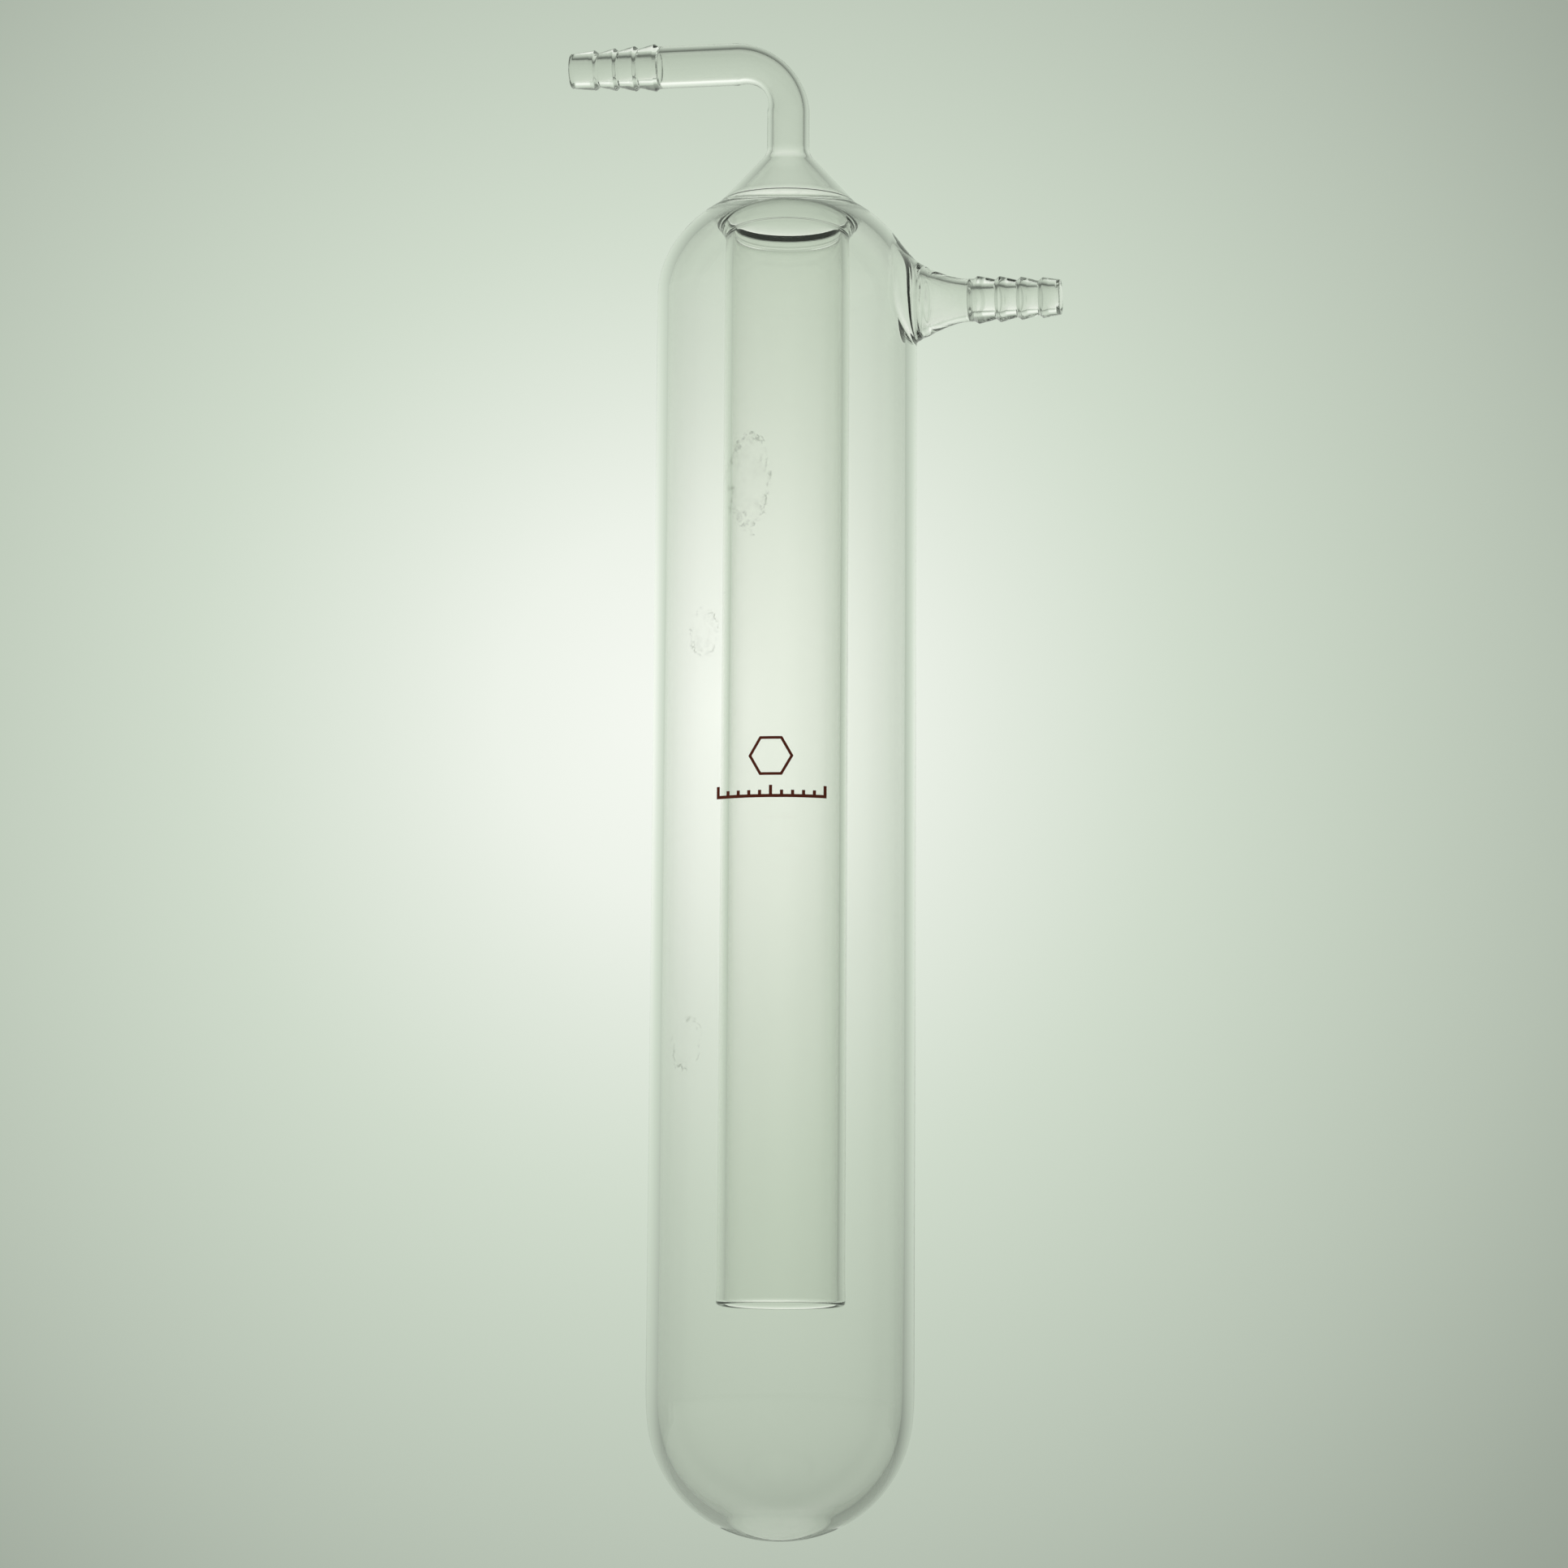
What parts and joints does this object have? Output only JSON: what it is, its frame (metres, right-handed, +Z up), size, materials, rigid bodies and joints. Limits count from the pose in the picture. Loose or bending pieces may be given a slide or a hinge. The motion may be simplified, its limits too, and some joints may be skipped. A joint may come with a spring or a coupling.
{
  "type": "vacuum cold trap",
  "caption": "Glass vacuum cold trap: round-bottomed tube with a dip tube on a ring seal, a bent inlet stem on top and an outlet side arm, both ending in hose barbs.",
  "frame": {"origin": "on the body tube's axis, at the lower end of its straight wall, where the round bottom begins", "axes": "+Z up the body tube's axis; +X along the outlet side arm; the inlet's level run points along -X"},
  "size_m": [0.096, 0.05, 0.2886],
  "materials": {
    "clear_glass": "clear fire-polished borosilicate glass",
    "print_enamel": "fired dark red enamel print"
  },
  "bodies": {
    "root": {"body_tube": "clear_glass", "round_bottom": "clear_glass", "shoulder": "clear_glass", "ring_seal": "clear_glass", "dip_tube": "clear_glass", "inlet_cone": "clear_glass", "inlet_stem": "clear_glass", "inlet_hose_barb": "clear_glass", "side_arm_neck": "clear_glass", "outlet_hose_barb": "clear_glass", "printed_mark": "print_enamel"}
  },
  "joints": []
}
